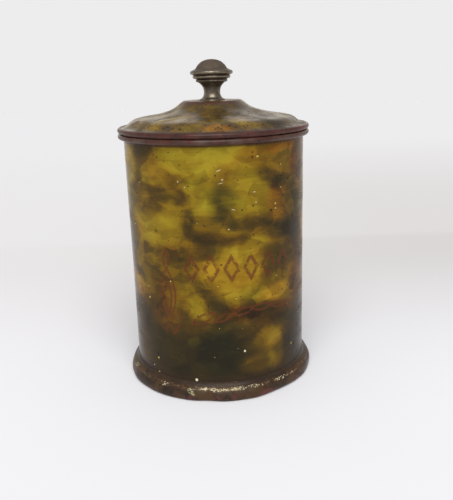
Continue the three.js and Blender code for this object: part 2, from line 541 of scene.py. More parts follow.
def draw_ornament(b, flat):
    """A worn row of lozenges, an upright sprig of almond leaves and an arched spray of small ones."""
    drawn = 0.0
    for place in range(6):
        centre = ((-16 + 12 * place) * DEGREE, 82.0, 0)
        drawn = b.use(
            lozenge_outline, Flat=flat, Centre=centre, Half_Size=(3.9, 6.8, 1), Stroke=0.42, Drawn=drawn,
        )["Drawn"]
    for centre, turn, length, breadth in (
        ((-33, 65), 0, 32, 10), ((-33, 63), 0, 21, 4.5), ((-38, 48), -16, 16, 5), ((-28, 48), 16, 16, 5),
        ((-33, 86), 0, 10, 4), ((-10, 52), 62, 15, 4.5),
    ):
        drawn = almond(b, flat, drawn, centre, turn, length, breadth, 1.0)
    for leaf in range(5):
        centre = (3 + 12 * leaf, 51 + 5.5 * math.sin((leaf + 0.5) * math.pi / 5))
        drawn = almond(b, flat, drawn, centre, 62 + 14 * leaf, 12.5, 3.6, 0.85)
    return drawn


# ------------ marbled wall

# Each dab: degrees round, millimetres up, half width, half height, turn, tone, warmth.
LIGHT_DABS = [
    (-14, 145, 20, 9, 0, 0.5, -0.4),
    (2, 148, 14, 6, 0, 0.3, -0.3),
    (-9, 127, 9, 15, 8, 0.34, -0.3),
    (-9, 113, 7, 8, 0, 0.2, -0.2),
    (-41, 135, 12, 7, 0, 0.2, 0),
    (-16, 131, 5, 5, 0, 0.25, -0.2),
    (-64, 120, 8, 34, 0, 0.05, -0.5),
    (-42, 105, 21, 11, 6, 0.42, -0.2),
    (-27, 112, 9, 6, 12, 0.25, -0.2),
    (-60, 104, 8, 9, 0, 0.1, 0.6),
    (-12, 94, 8, 4, 0, 0.1, 0.2),
    (20, 124, 15, 15, 0, 0.34, -0.3),
    (14, 117, 8, 5, 0, 0.12, -0.2),
    (16, 145, 14, 7, 0, 0.3, 0.2),
    (47, 149, 18, 4, 0, 0.15, 1.0),
    (60, 140, 8, 9, 0, 0.0, 0.9),
    (39, 118, 8, 12, 8, 0.2, 0.6),
    (11, 79, 16, 14, 0, 0.55, 0.3),
    (24, 88, 7, 5, 0, 0.2, 0),
    (-3, 82, 9, 8, 0, 0.15, 0.2),
    (20, 94, 13, 5, 0, 0.34, -0.1),
    (6, 67, 8, 5, 0, 0.1, -0.2),
    (-15, 60, 7, 8, 0, 0.4, -0.2),
    (-10, 54, 7, 3.5, 20, 0.2, 0.1),
    (38, 65, 12, 5.5, -8, 0.45, 0.5),
    (22, 67, 8, 5, 0, 0.1, -0.6),
    (60, 66, 9, 16, 0, 0.0, 1.0),
    (32, 35, 15, 7, -10, 0.6, 0.1),
    (38, 27, 8, 13, 0, 0.5, 0.1),
    (26, 21, 11, 7, 0, 0.4, -0.1),
    (-17, 36, 4, 4, 0, 0.35, -1.0),
    (-8, 20, 7, 4, 0, 0.15, -0.6),
    (-30, 46, 9, 5, 0, 0.1, 0.3),
]
DARK_DABS = [
    (-50, 150, 15, 5, 0, -0.34, 0),
    (-54, 127, 14, 4, 0, -0.25, 0),
    (-36, 125, 9, 4, 10, -0.45, 0),
    (-22, 124, 7, 4.5, 36, -0.42, 0),
    (-28, 133, 5, 5, 40, -0.2, 0),
    (-17, 109, 4, 9, 0, -0.34, -0.1),
    (-14, 102, 8, 4, 30, -0.3, 0),
    (4, 122, 9, 8, -8, -0.28, -0.8),
    (-2, 116, 5, 7, -10, -0.24, -0.4),
    (5, 110, 8, 3.6, 34, -0.38, -0.2),
    (18, 107, 14, 3.8, 2, -0.38, 0),
    (40, 101, 14, 6, 3, -0.5, 0.1),
    (56, 100, 12, 7, 0, -0.5, 0.2),
    (45, 94, 9, 6, 0, -0.3, 0.1),
    (-3, 100, 14, 4, 0, -0.28, 0.4),
    (9, 98, 9, 4, 0, -0.22, 0.2),
    (34, 133, 10, 6, 30, -0.42, 0),
    (46, 127, 13, 6, 8, -0.44, 0.1),
    (52, 112, 10, 17, 0, -0.38, 0.1),
    (62, 113, 5, 8, 0, -0.15, -0.9),
    (63, 138, 9, 18, 0, -0.36, 0.5),
    (41, 82, 12, 9, 0, -0.34, -0.3),
    (28, 77, 5, 4, 0, -0.25, 0),
    (56, 86, 11, 9, 0, -0.2, 0.5),
    (63, 74, 10, 36, 0, -0.36, 0.4),
    (-73, 76, 9, 30, 0, -0.45, 0.3),
    (-23, 58, 5, 5, 0, -0.3, 0.1),
    (24, 59, 8, 4.5, 0, -0.3, 0.1),
    (-27, 90, 13, 5, 0, -0.34, 0.1),
    (-38, 66, 10, 16, 0, -0.24, 0.4),
    (-12, 72, 10, 4.5, 38, -0.32, 0.1),
    (-5, 94, 6, 5, 0, -0.2, 0.1),
    (-1, 60, 8, 4.5, 36, -0.32, 0),
    (10, 53, 16, 6, -8, -0.42, 0.9),
    (34, 51, 18, 7, 8, -0.42, 0.7),
    (-56, 52, 15, 15, 0, -0.3, 0.4),
    (-30, 26, 24, 16, 0, -0.15, -0.2),
    (0, 30, 14, 22, 0, -0.35, -0.9),
    (60, 26, 12, 22, 0, -0.22, 0.4),
    (-64, 28, 12, 18, 0, 0.1, 0.6),
]
CHIPS = [
    (-16, 12, 0.8, 0.9, 0, 1.2, 0),
    (15, 30, 0.6, 0.7, 0, 1.0, 0),
    (7, 105, 0.4, 0.4, 0, 0.6, 0),
    (2, 138, 1.4, 0.3, -20, 0.5, 0),
    (4, 133, 0.6, 0.4, 0, 0.5, 0),
    (3, 131, 1.5, 0.25, -10, 0.4, 0),
    (-22, 132, 0.4, 0.6, 0, 0.45, 0),
    (-18, 129, 0.4, 0.4, 0, 0.5, 0),
    (23, 125, 0.8, 0.3, 0, 0.5, 0),
    (24, 119, 0.4, 0.5, 0, 0.4, 0),
    (10, 116, 1.2, 0.3, 20, 0.4, 0),
    (105, 88, 0.7, 0.6, 0, 0.8, 0),
    (-98, 40, 0.8, 0.5, 30, 0.8, 0),
    (150, 120, 0.9, 0.5, 0, 0.7, 0),
]


def back_dabs():
    """Dabs for the sides and back, like the front's: light clouds, then dark veins between them."""
    rng = np.random.default_rng(7)
    found = []
    for column in range(6):
        for row in range(4):
            round_at = 90 + column * 36 + (row % 2) * 14 + rng.uniform(-8, 8)
            up_at = 32 + row * 34 + rng.uniform(-7, 7)
            fade = 0.5 if row == 0 else 1.0
            half_width, half_height = rng.uniform(12, 19), rng.uniform(9, 14)
            tone, warmth = rng.uniform(0.3, 0.62) * fade, rng.uniform(-0.5, 0.7)
            found.append((round_at, up_at, half_width, half_height, rng.uniform(-20, 20), tone, warmth))
    for vein in range(11):
        round_at, up_at = 76 + vein * 19, 36 + (vein * 47) % 112
        heading = rng.uniform(-25, 25)
        for step in range(4):
            length = rng.uniform(8, 12)
            breadth, tone = rng.uniform(3.2, 5.5), rng.uniform(-0.48, -0.34)
            found.append((round_at, up_at, length, breadth, heading, tone, 0.0))
            round_at += 1.3 * length * math.cos(math.radians(heading)) / DEGREE
            up_at += 1.3 * length * math.sin(math.radians(heading))
            heading += rng.uniform(-40, 40)
    return [(angle if angle <= 180 else angle - 360, *rest) for angle, *rest in found]


def lay_dabs(b, flat, dabs, around=True):
    """Lays every dab, dark ones softer, and those that cross the back seam on both its sides."""
    total = ZERO
    per_degree = DEGREE if around else 1.0
    for angle, up, half_width, half_height, turn, tone, warmth in dabs:
        places = [angle]
        if around and abs(angle) + half_width * 1.4 > 180:
            places.append(angle - math.copysign(360, angle))
        for place in places:
            total = b.use(
                cloud_dab, Flat=flat, Centre=(place * per_degree, up, 0), Turn=math.radians(turn),
                Size=(half_width, half_height, 1), Glaze=(tone, warmth, 0),
                Firm=0.55 if tone > 0 else 0.4, Sum=total,
            )["Sum"]
    return total


def one_dab(b, flat, centre, size, turn, tone):
    """How much a single dab covers; its centre is in degrees round and millimetres up."""
    laid = b.use(
        cloud_dab, Flat=flat, Centre=(centre[0] * DEGREE, centre[1], 0), Turn=turn, Size=(*size, 1),
        Glaze=(tone, 0, 0),
    )
    return b.parts(laid["Sum"])[0]


def marble_color(b, tone, warmth):
    """The lacquer's colour from its tone, -1 to 1, and its warmth, green below 0 to orange."""
    color = b.ramp(
        b.span(tone, -1.0, 1.0, soft=False),
        (0.0, 42, 35, 20),
        (0.2, 58, 47, 21),
        (0.4, 80, 61, 21),
        (0.56, 104, 79, 19),
        (0.78, 132, 105, 22),
        (1.0, 156, 130, 32),
    )
    orange = b.mix(1.0, color, (1.12, 0.8, 0.72, 1), "MULTIPLY")
    green = b.mix(1.0, color, (0.82, 1.02, 1.0, 1), "MULTIPLY")
    color = b.mix(b.span(warmth, 0.0, 1.0, soft=False), color, orange)
    return b.mix(b.span(warmth, 0.0, -1.0, soft=False), color, green)


def glaze_patches(b, place):
    """Layers of glaze dragged over each other: patches with half-soft edges, about -0.5 to 0.5."""
    dragged = b.vector("MULTIPLY", place, (0.075, 0.12, 0.075))
    cells = b.add("ShaderNodeTexVoronoi", feature="SMOOTH_F1").node
    b.feed_all(cells.inputs, {"Vector": dragged, "Scale": 1.0, "Smoothness": 0.05})
    mean = b.vector("DOT_PRODUCT", cells.outputs["Color"], (0.5, 0.5, 0.0), out=1)
    lapped = b.span(b.noise(b.vector("MULTIPLY", place, (0.05, 0.09, 0.05)), 1.0, 3.0, 0.5), 0.47, 0.53)
    return b.times_plus(b.math("SUBTRACT", lapped, 0.5), 0.35, b.math("SUBTRACT", mean, 0.5))


def start_lacquer(name, specular, wall_radius, pit_share, crumb_share, in_plan=False):
    """A lacquer's board, its flat and round places and its fine marks; the lid's run in plan."""
    b = new_material(name, specular)
    place = b.use(unrolled, Wall_Radius=wall_radius / MM)
    flat, around = place["Flat"], place["Round"]
    marks = b.use(
        lacquer_surface, Round=around, Flat=around if in_plan else flat, Pit_Share=pit_share,
        Crumb_Share=crumb_share,
    )
    return b, flat, around, marks


def make_wall_lacquer():
    b, flat, around, marks = start_lacquer("wall_lacquer", 0.1, wall_outside, 0.35, 0.08)
    up = b.parts(flat)[1]

    # The glaze's edges wander: the flat place is pushed about by noise before the dabs are laid.
    push = b.wander(around, 0.045)
    wandering = b.vector("MULTIPLY_ADD", push, (14.0, 11.0, 0.0), b.vector("MULTIPLY", flat, (1, 1, 0)))
    dabs = b.parts(lay_dabs(b, wandering, [*LIGHT_DABS, *DARK_DABS, *back_dabs()]))
    lower = b.use(grime, Round=around, Height=up, Full_At=34.0, Gone_At=62.0, Ragged=14.0)["Grime"]
    tone = b.times(b.swing(around, 0.075, 5.0, 0.62, 0.5), 0.4)
    tone = b.times_plus(b.swing(around, 0.3, 3.0, 0.6), 0.24, tone)
    tone = b.times_plus(b.math("SUBTRACT", marks["Streaks"], 0.5), 0.5, tone)
    tone = b.times_plus(glaze_patches(b, wandering), 0.62, tone)
    tone = b.times_plus(tone, b.times_plus(lower, -0.5, 1.0), b.times_plus(lower, -0.6, 0.1))
    tone = b.times_plus(dabs[0], 1.25, tone)
    warmth = b.times_plus(b.swing(around, 0.08, 4.0, 0.6), 1.9, dabs[1])
    color = b.paint(marble_color(b, tone, warmth), lower, 0.3, 30, 26, 26)

    drawn = draw_ornament(b, b.vector("MULTIPLY_ADD", push, (1.2, 1.2, 0.0), flat))
    drawn = b.times(drawn, b.span(b.noise(around, 0.3, 4.0, 0.65), 0.34, 0.5))
    color = b.paint(color, drawn, 0.75, 92, 48, 26)
    foot_line, rim_line = foot_top / MM, rim_top / MM
    foot_dirt = b.use(
        grime, Round=around, Height=up, Full_At=foot_line + 0.5, Gone_At=foot_line + 6, Ragged=5.0,
    )["Grime"]
    color = b.paint(color, foot_dirt, 0.65, 52, 38, 30)
    # A dark red-brown band under the rim bead: partly a painted stripe, partly painted shade cast by the
    # bead onto the wall.
    color = b.paint(color, b.span(up, rim_line - 4.9, rim_line - 3.8), 0.8, 60, 36, 26)
    color = b.paint(color, marks["Pits"], 0.75, 40, 30, 22)
    color = b.paint(color, marks["Scratches"], 0.15, 170, 150, 96)
    color = b.paint(color, marks["Crumbs"], 0.8, 196, 176, 84)
    chips = b.parts(lay_dabs(b, flat, CHIPS))[0]
    color = b.mix(b.math("MINIMUM", chips, 1.0), color, shade(226, 220, 184))

    rough = b.span(marks["Smears"], 0.0, 1.0, 0.16, 0.34)
    rough = b.times_plus(marks["Pits"], 0.3, rough)
    rough = b.times_plus(foot_dirt, 0.15, rough)
    return finish_material(b, color, rough, b.times_plus(drawn, 0.2, marks["Height"]), 0.12 * MM)


# ------------ lid, rim and foot lacquer

# On the lid the dabs lie in plan: millimetres right, millimetres back, then as on the wall.
LID_DABS = [
    (-3, -21, 12, 4, 0, 0.1, -0.2),
    (6, -30, 9, 8, 0, -0.1, 0.1),
    (-22, -34, 12, 9, -25, 0.4, 0),
    (-34, -38, 14, 6, -42, 0.4, 0),
    (-16, -49, 12, 4, -15, 0.4, -0.2),
    (2, -52, 12, 3.5, 0, 0.5, 0.9),
    (18, -46, 9, 5, 20, 0.4, 0),
    (6, -44, 8, 4, 0, 0.3, -0.3),
    (34, -36, 14, 8, 42, -0.45, 0.3),
    (46, -22, 9, 14, 20, -0.3, 0.2),
    (-50, -8, 7, 14, 0, 0.1, 0.2),
    (24, -20, 14, 12, 0, -0.2, 0.2),
    (-26, -4, 12, 14, 0, 0.15, 0),
    (0, 30, 18, 9, 0, 0.4, 0),
    (-32, 26, 12, 12, 0, -0.3, 0.1),
    (34, 24, 14, 9, 0, 0.45, 0.2),
    (4, 48, 22, 6, 0, 0.35, 0.3),
]


def rim_paint(b, around, marks):
    """Red-brown paint on the wired edges, rubbed to a brighter red and to grey on top."""
    patch = b.noise(around, 0.14, 4.0, 0.6)
    color = b.mix(b.span(patch, 0.3, 0.7), shade(56, 32, 27), shade(80, 45, 37))
    color = b.paint(color, b.span(b.noise(around, 0.05, 3.0, 0.6), 0.5, 0.72), 0.5, 108, 36, 38)
    grey = b.span(b.noise(b.scaled(around, 1.3), 0.2, 4.0, 0.6), 0.55, 0.72)
    color = b.paint(color, grey, 0.5, 78, 64, 54)
    return b.paint(color, marks["Pits"], 0.7, 30, 22, 20)


def make_lid_lacquer():
    b, flat, around, marks = start_lacquer("lid_lacquer", 0.36, wall_outside, 0.5, 0.05, in_plan=True)
    b.shader["Coat Roughness"].default_value = 0.2
    plan = b.vector("MULTIPLY_ADD", b.wander(around, 0.06), (12.0, 12.0, 0.0), around)
    dabs = b.parts(lay_dabs(b, plan, LID_DABS, around=False))
    tone = b.times_plus(b.swing(around, 0.15, 5.0, 0.62, 0.5), 1.5, -0.2)
    tone = b.times_plus(glaze_patches(b, b.scaled(around, 1.5)), 0.4, tone)
    tone = b.math("ADD", tone, dabs[0])
    warmth = b.times_plus(b.swing(around, 0.12, 4.0, 0.6), 2.0, dabs[1])
    color = marble_color(b, tone, warmth)

    # Dark rust spots crowd the lower shoulder, and the plateau's edge is painted red-brown.
    up, reach = b.parts(flat)[1:]
    shoulder = b.times(b.span(reach, 38.0, 46.0), b.span(reach, 56.0, 54.5))
    large_spots = dots(b, b.scaled(around, 1.1), 4.1, 0.5, 0.3)
    spots = b.math("MAXIMUM", dots(b, around, 2.3, 0.75, 0.4), large_spots)
    color = b.paint(color, b.times(spots, shoulder), 0.8, 46, 32, 22)
    color = b.paint(color, marks["Pits"], 0.8, 38, 28, 22)
    brink = b.times(b.span(up, plateau / MM - 2.4, plateau / MM - 0.9), b.span(reach, 14.6, 16.6))
    color = b.paint(color, brink, 0.85, 72, 42, 34)
    edge = b.span(b.times_plus(b.noise(around, 0.3, 3.0), 1.6, reach), 54.6, 55.6)
    color = b.paint(color, edge, 0.8, 72, 44, 30)
    # Painted shade: the crease between the dome's shoulder and its wired edge is darkened.
    crevice_shade = b.times(b.span(reach, 54.0, 55.0), b.span(reach, 56.4, 55.4))
    color = b.paint(color, crevice_shade, 0.6, 34, 24, 20)
    color = b.paint(color, marks["Crumbs"], 0.7, 200, 186, 150)
    rough = b.span(b.noise(around, 0.09, 4.0, 0.6), 0.38, 0.62, 0.18, 0.46)
    rough = b.times_plus(marks["Pits"], 0.25, rough)
    coat = b.span(b.noise(b.scaled(around, 1.2), 0.06, 4.0, 0.6), 0.4, 0.62, 0.0, 0.45)
    b.feed(b.shader["Coat Weight"], coat)
    return finish_material(b, color, rough, marks["Height"], 0.09 * MM)


def make_rim_lacquer():
    b, flat, around, marks = start_lacquer("rim_lacquer", 0.25, wall_outside, 0.3, 0.06)
    grey = b.span(b.noise(around, 0.11, 3.0), 0.4, 0.6)
    lower_bead = b.span(b.parts(around)[2], rim_top / MM + 0.2, rim_top / MM - 0.3)
    color = b.paint(rim_paint(b, around, marks), b.times(grey, lower_bead), 0.6, 84, 70, 60)
    rough = b.span(marks["Smears"], 0.0, 1.0, 0.2, 0.4)
    return finish_material(b, color, rough, marks["Height"], 0.1 * MM)


def make_foot_lacquer():
    b, flat, around, marks = start_lacquer("foot_lacquer", 0.22, foot_radius, 0.45, 0.12)
    up = b.parts(flat)[1]
    color = b.ramp(
        b.noise(around, 0.09, 5.0, 0.62, 0.3),
        (0.3, 34, 25, 20),
        (0.44, 52, 38, 27),
        (0.54, 70, 48, 30),
        (0.64, 66, 54, 28),
        (0.75, 84, 54, 38),
    )
    pink = b.span(b.noise(b.scaled(around, 0.9), 0.13, 3.0), 0.55, 0.68)
    color = b.paint(color, b.times(pink, b.span(up, 5.5, 2.5)), 0.6, 104, 54, 52)
    color = b.paint(color, b.span(up, foot_top / MM - 2.6, foot_top / MM - 0.6), 0.7, 46, 35, 24)

    # The ridge is knocked: in places the lacquer has flaked off and shows a cream ground.
    ridge = foot_ridge / MM
    wobble = b.times_plus(b.noise(around, 0.22, 3.0), 2.6, ridge - 1.2)
    band = b.span(b.math("ABSOLUTE", b.math("SUBTRACT", up, wobble)), 1.7, 0.1)
    front_knocks = one_dab(b, flat, (-4, ridge), (19, 30), 0.0, 1)
    knocked = b.math("MAXIMUM", front_knocks, b.span(b.noise(around, 0.035, 2.0), 0.6, 0.8))
    chip_noise = b.noise(b.vector("MULTIPLY", around, (1, 1, 1.8)), 0.5, 4.0, 0.7)
    chip_level = b.times_plus(band, 0.2, b.times_plus(knocked, 0.1, chip_noise))
    chipped = b.span(chip_level, 0.82, 0.87)
    color = b.paint(color, b.span(chip_level, 0.62, 0.84), 0.45, 120, 98, 70)
    color = b.mix(chipped, color, shade(214, 202, 166))
    smudge = one_dab(b, flat, (-20, 5.6), (3.0, 1.2), 0.5, 0.9)
    color = b.mix(b.times(smudge, b.span(chip_noise, 0.42, 0.58)), color, shade(168, 166, 122))
    color = b.paint(color, marks["Pits"], 0.7, 30, 24, 20)
    rough = b.times_plus(chipped, 0.3, b.span(marks["Smears"], 0.0, 1.0, 0.32, 0.5))
    return finish_material(b, color, rough, b.times_plus(chipped, -0.5, marks["Height"]), 0.15 * MM)


# ------------ bare metals

def make_metal(name, clean, stained, rough, spacing=0.4, stain_size=9.0, stain_share=0.8, metallic=1.0):
    """Bare metal with stains, turning lines and speckle; each metal has its own colours."""
    b = new_material(name)
    wear = b.use(metal_wear, Round=b.use(unrolled)["Round"], Line_Spacing=spacing, Stain_Size=stain_size)
    stain = b.times(wear["Stain"], stain_share)
    color = b.mix(stain, shade(*clean), shade(*stained))
    color = b.mix(b.span(wear["Speckle"], 0.6, 0.72), color, b.mix(0.5, color, shade(30, 26, 22)))
    rough = b.times_plus(wear["Stain"], 0.25, b.times_plus(wear["Lines"], 0.15, rough))
    height = b.times_plus(wear["Lines"], 0.4, b.times(wear["Speckle"], 0.5))
    return finish_material(b, color, rough, height, 0.03 * MM, b.times_plus(stain, -0.35, metallic))


wall_lacquer = make_wall_lacquer()
lid_lacquer = make_lid_lacquer()
rim_lacquer = make_rim_lacquer()
foot_lacquer = make_foot_lacquer()
tinplate = make_metal("tinplate", (166, 162, 152), (116, 104, 84), 0.3, stain_size=14.0, stain_share=0.6)
white_metal = make_metal("white_metal", (138, 127, 113), (70, 60, 49), 0.2, 0.25, 5.0)
dull_patina = make_metal("dull_patina", (96, 82, 68), (62, 52, 43), 0.55, 0.3, 6.0, metallic=0.5)
iron = make_metal("iron", (128, 124, 118), (84, 58, 40), 0.4)
solder = make_metal("solder", (150, 150, 148), (104, 98, 88), 0.35, 0.8, 7.0)
cream_ground = make_metal("cream_ground", (222, 212, 178), (176, 158, 104), 0.5, 0.4, 3.0, 0.6, 0.0)


# ------------ knocks and waviness

def bump_at(angle, height, centre, width, up_at=0.0, tall=None):
    """1 at the middle of a knock, falling to 0 outside it; degrees round and millimetres up."""
    apart = (np.degrees(angle) - centre + 180) % 360 - 180
    share = (apart / width) ** 2
    if tall is not None:
        share = share + ((height - up_at * MM) / (tall * MM)) ** 2
    return np.exp(-share)


def knocks(angle, height, *rows):
    """Several knocks together: each row is how deep, where round, how wide, where up, how tall."""
    return sum(deep * bump_at(angle, height, *where) for deep, *where in rows)


def fade_in(value, start, end):
    """0 at the start, 1 at the end and straight between; in millimetres."""
    return np.clip((value - start * MM) / ((end - start) * MM), 0, 1)


def wall_waves(angle, radius, height):
    """The rolled wall is a little out of round and dinged; its ends stay true."""
    free = fade_in(height, 14, 28) * fade_in(height, 140, 120)
    free = free * free * (3 - 2 * free)
    swing = 0.16 * np.sin(2 * angle + 0.6) + 0.1 * np.sin(3 * angle + 40 * height)
    swing = swing + 0.05 * np.sin(7 * angle - 60 * height)
    dings = knocks(
        angle, height,
        (0.5, 62, 9, 96, 11),
        (0.35, -28, 8, 60, 9),
        (0.7, 138, 10, 52, 14),
        (0.6, -112, 11, 112, 12),
        (0.25, 18, 7, 34, 7),
        (0.4, -160, 7, 76, 9),
    )
    return radius + (swing - dings) * free * MM, height


def foot_knocks(angle, radius, height):
    """The foot's outer edge is pushed out, bent in and lifted here and there."""
    outer = fade_in(radius, wall_outside / MM + 0.6, foot_radius / MM)
    push = knocks(
        angle, height, (0.8, -50, 22), (-0.9, 42, 13), (0.35, 20, 5), (-0.5, -8, 6), (-0.6, 150, 9),
    )
    push = push + 0.15 * np.sin(9 * angle) + 0.1 * np.sin(17 * angle + 1)
    lift = knocks(angle, height, (0.7, 40, 14), (0.3, -8, 6), (0.4, 150, 9))
    return radius + push * outer * MM, height + lift * outer * MM


def lid_waves(angle, radius, height):
    """The spun lid has shallow dings between its plateau and its edge, which stay true."""
    free = fade_in(radius, 19, 24) * fade_in(radius, 50, 44)
    drop = 0.12 * np.sin(3 * angle + 1) + 0.06 * np.sin(8 * angle)
    dings = knocks(angle, radius, (0.3, -38, 11, 36, 7), (0.3, 52, 9, 32, 6), (0.35, 170, 12, 34, 8))
    return radius, height + (drop - dings) * free * MM


# ------------ canister body

def body_shell():
    flare = rim_top - 4.6 * MM
    straight = line((wall_line, WALL_FOOT), (wall_line, flare), 75)
    curl_side = (bead_centre - BEAD + SHEET / 2, body_bead_height)
    neck = curve_through([(wall_line + 0.12 * MM, flare + 1.2 * MM), curl_side], 3)[:-1]
    curl = arc(bead_centre, body_bead_height, BEAD - SHEET / 2, 180, -120, 22)
    middle = np.vstack((straight, neck, curl))
    outline = sheet_outline(middle)
    skin = np.zeros(len(outline), int)
    inside_from = len(straight) + len(neck) - 1
    skin[:inside_from] = 2
    skin[inside_from : len(middle)] = 1
    return lathe("body_shell_worn", outline, shape=wall_waves, skin=skin)


def edge_wire(name, height):
    return lathe(name, arc(bead_centre, height, WIRE, 0, 345, 23))


def bottom_disc():
    edge = wall_inside - GAP - SHEET / 2
    height = top_of("bottom_disc") - SHEET / 2
    middle = np.vstack((
        line((edge, WALL_FOOT), (edge, height - 1.2 * MM), 4),
        arc(edge - 1 * MM, height - 1 * MM, 1 * MM, 0, 90, 6),
        line((edge - 2 * MM, height), (0, height), 24),
    ))
    outline = sheet_outline(middle)
    return lathe("bottom_disc_pressed", np.roll(outline, -len(middle), axis=0)[::-1])


def foot_band():
    contact = wall_outside + 0.12 * MM
    bulge = foot_radius - SHEET / 2
    ridge_r = wall_outside + 3.1 * MM
    roll = 1.6 * MM
    middle = np.vstack((
        curve_through([
            *near(contact, foot_top, (0, 0.5), (0.22, -0.6), (0.9, -1.7)),
            *near(ridge_r, foot_ridge, (-0.9, 0.5), (0, 0)),
        ], 5),
        curve_through([
            *near(ridge_r, foot_ridge, (0.25, -0.5)),
            (bulge - 0.45 * MM, 0.48 * foot_top),
            (bulge, 0.3 * foot_top),
            (bulge, SHEET / 2 + roll),
        ], 5),
        arc(bulge - roll, SHEET / 2 + roll, roll, -8, -90, 8),
        line((bulge - roll - 0.5 * MM, SHEET / 2), (wall_inside - 2 * MM, SHEET / 2), 5),
    ))
    # The top edge is feathered against the wall, where paint has filled the joint.
    thickness = np.interp(middle[:, 1], (foot_top - 1.7 * MM, foot_top + 0.5 * MM), (SHEET, 0.12 * MM))
    return lathe("foot_band_moulded", sheet_outline(middle, thickness), shape=foot_knocks)


# ------------ lid

def lid_dome():
    top = plateau - SHEET / 2
    rise = top - lid_bead_height
    shares = ((0.445, 0.7), (0.6, 0.53), (0.764, 0.43), (0.878, 0.35), (0.951, 0.173), (0.989, 0.102))
    shoulder = [(reach * wall_outside, lid_bead_height + up * rise) for reach, up in shares]
    curl = arc(bead_centre, lid_bead_height, BEAD - SHEET / 2, 110, -130, 22)
    middle = np.vstack((
        line((SCREW_HOLE, top), (17 * MM, top), 12),
        curve_through([(17.4 * MM, top), (18.9 * MM, top - 0.9 * MM), *shoulder], 6)[:-1],
        curl,
    ))
    outline = sheet_outline(middle)
    skin = np.zeros(len(outline), int)
    skin[len(middle) - len(curl) : len(middle)] = 1
    skin[len(middle) :] = 2
    return lathe("lid_dome_spun", outline, shape=lid_waves, skin=skin)


def lid_collar():
    edge = radius_of("lid_collar") - SHEET / 2
    low = bottom_of("lid_collar")
    middle = np.vstack((
        curve_through(near(edge, lid_bead_height, (-4.1, 3.3), (-1.1, 1.5), (0, 0.4)), 5),
        line((edge, lid_bead_height - 0.5 * MM), (edge, low + 1.8 * MM), 8),
        curve_through(near(edge, low, (-0.1, 1.3), (-1, 0.2)), 4),
    ))
    return lathe("lid_collar_band", sheet_outline(middle))


def knob():
    waist = 4.9 * MM
    stem = near(waist, knob_seat, (2.9, 0), (2.6, 0.5), (0.9, 1.7), (0, 4.4), (0.8, 7.9), (3, 10.3))
    dome = near(
        knob_radius, knob_top, (-2, -6.1), (-3.3, -5.4), (-4, -4.4), (-5, -3.1), (-7.1, -1.4), (-9.9, -0.35),
    )
    crown = curve_through([*dome, (0, knob_top)], 8)
    outline = np.vstack((
        (0, knob_seat + 8 * MM),
        (SCREW_HOLE, knob_seat + 8 * MM),
        (SCREW_HOLE, knob_seat),
        curve_through(stem, 8),
        arc(knob_radius - 4.2 * MM, knob_top - 12.3 * MM, 0.9 * MM, -60, 60, 8),
        arc(knob_radius - 2.6 * MM, knob_top - 10.1 * MM, 1.1 * MM, -60, 60, 8),
        arc(knob_radius - 1.2 * MM, knob_top - 7.7 * MM, 1.2 * MM, -70, 70, 12),
    ))
    skin = [0] * len(outline) + [1] * len(crown)
    return lathe("knob_turned", np.vstack((outline, crown)), steps=SMALL_ROUND, skin=skin)


# ------------ screw and washer

def cut_away(piece, cutter):
    """Cuts one mesh out of another."""
    modifier = piece.modifiers.new("cut", "BOOLEAN")
    modifier.object = cutter
    modifier.solver = "EXACT"
    plain_mesh(piece)
    bpy.data.objects.remove(cutter)


def box_between(name, low, high):
    corners = [(x, y, z) for x in (low[0], high[0]) for y in (low[1], high[1]) for z in (low[2], high[2])]
    sides = [(0, 1, 3, 2), (4, 6, 7, 5), (0, 4, 5, 1), (2, 3, 7, 6), (0, 2, 6, 4), (1, 5, 7, 3)]
    return new_piece(name, new_mesh(name, corners, sides))


def knob_screw():
    """A slotted round-head screw, put in from below, with a cut thread on its shank."""
    low, high = bottom_of("knob_screw"), top_of("knob_screw")
    under_head = bottom_of("knob_washer") - GAP
    head, shank = radius_of("knob_screw"), 1.6 * MM
    pitch, depth = 0.8 * MM, 0.22 * MM
    thread_start = top_of("knob_washer") + 1 * MM
    dome = [(0, low), (0.5 * head, low + 0.12 * MM), (0.82 * head, low + 0.5 * MM), (head, low + 1.2 * MM)]
    outline = np.vstack((
        curve_through(dome, 6),
        near(head, under_head, (0, -0.15), (-0.15, 0)),
        (shank, under_head),
        line((shank, thread_start), (shank, high - 0.6 * MM), 90),
        (shank - 0.55 * MM, high),
        (0, high),
    ))

    def thread(angle, radius, height):
        turn = (height / pitch - angle / (2 * math.pi)) % 1
        cut = depth * np.abs(2 * turn - 1)
        on_shank = (height > thread_start) & (height < high - 0.3 * MM) & (radius > 0.5 * shank)
        return radius - cut * on_shank, height

    screw = lathe("knob_screw_slotted", outline, steps=64, shape=thread)
    half_width, half_length = 0.45 * MM, 5 * MM
    slot = ((-half_width, -half_length, low - MM), (half_width, half_length, low + 0.9 * MM))
    cut_away(screw, box_between("slot", *slot))
    return screw


def knob_washer():
    low, high = bottom_of("knob_washer"), top_of("knob_washer")
    edge, chamfer = radius_of("knob_washer"), 0.2 * MM
    return lathe("knob_washer_stamped", [
        (SCREW_HOLE + chamfer, low),
        (edge - chamfer, low),
        (edge - 0.05 * MM, low + 0.07 * MM),
        (edge, low + chamfer),
        (edge, high - chamfer),
        (edge - chamfer, high),
        (SCREW_HOLE + chamfer, high),
        (SCREW_HOLE, high - chamfer),
        (SCREW_HOLE, low + chamfer),
    ], steps=SMALL_ROUND)


# ------------ side seam

SEAM_HALF = 3.5 * MM
SEAM_LOW = foot_top + 1 * MM
SEAM_HIGH = rim_top - 4.8 * MM


def seam_spot(across, radius, height):
    """A point of the back seam: across it, off the axis and up, following the wall's waves."""
    angle = math.pi - across / wall_outside
    radius, height = wall_waves(np.array(angle), np.array(radius), np.array(height))
    return (float(radius) * math.sin(angle), -float(radius) * math.cos(angle), float(height))


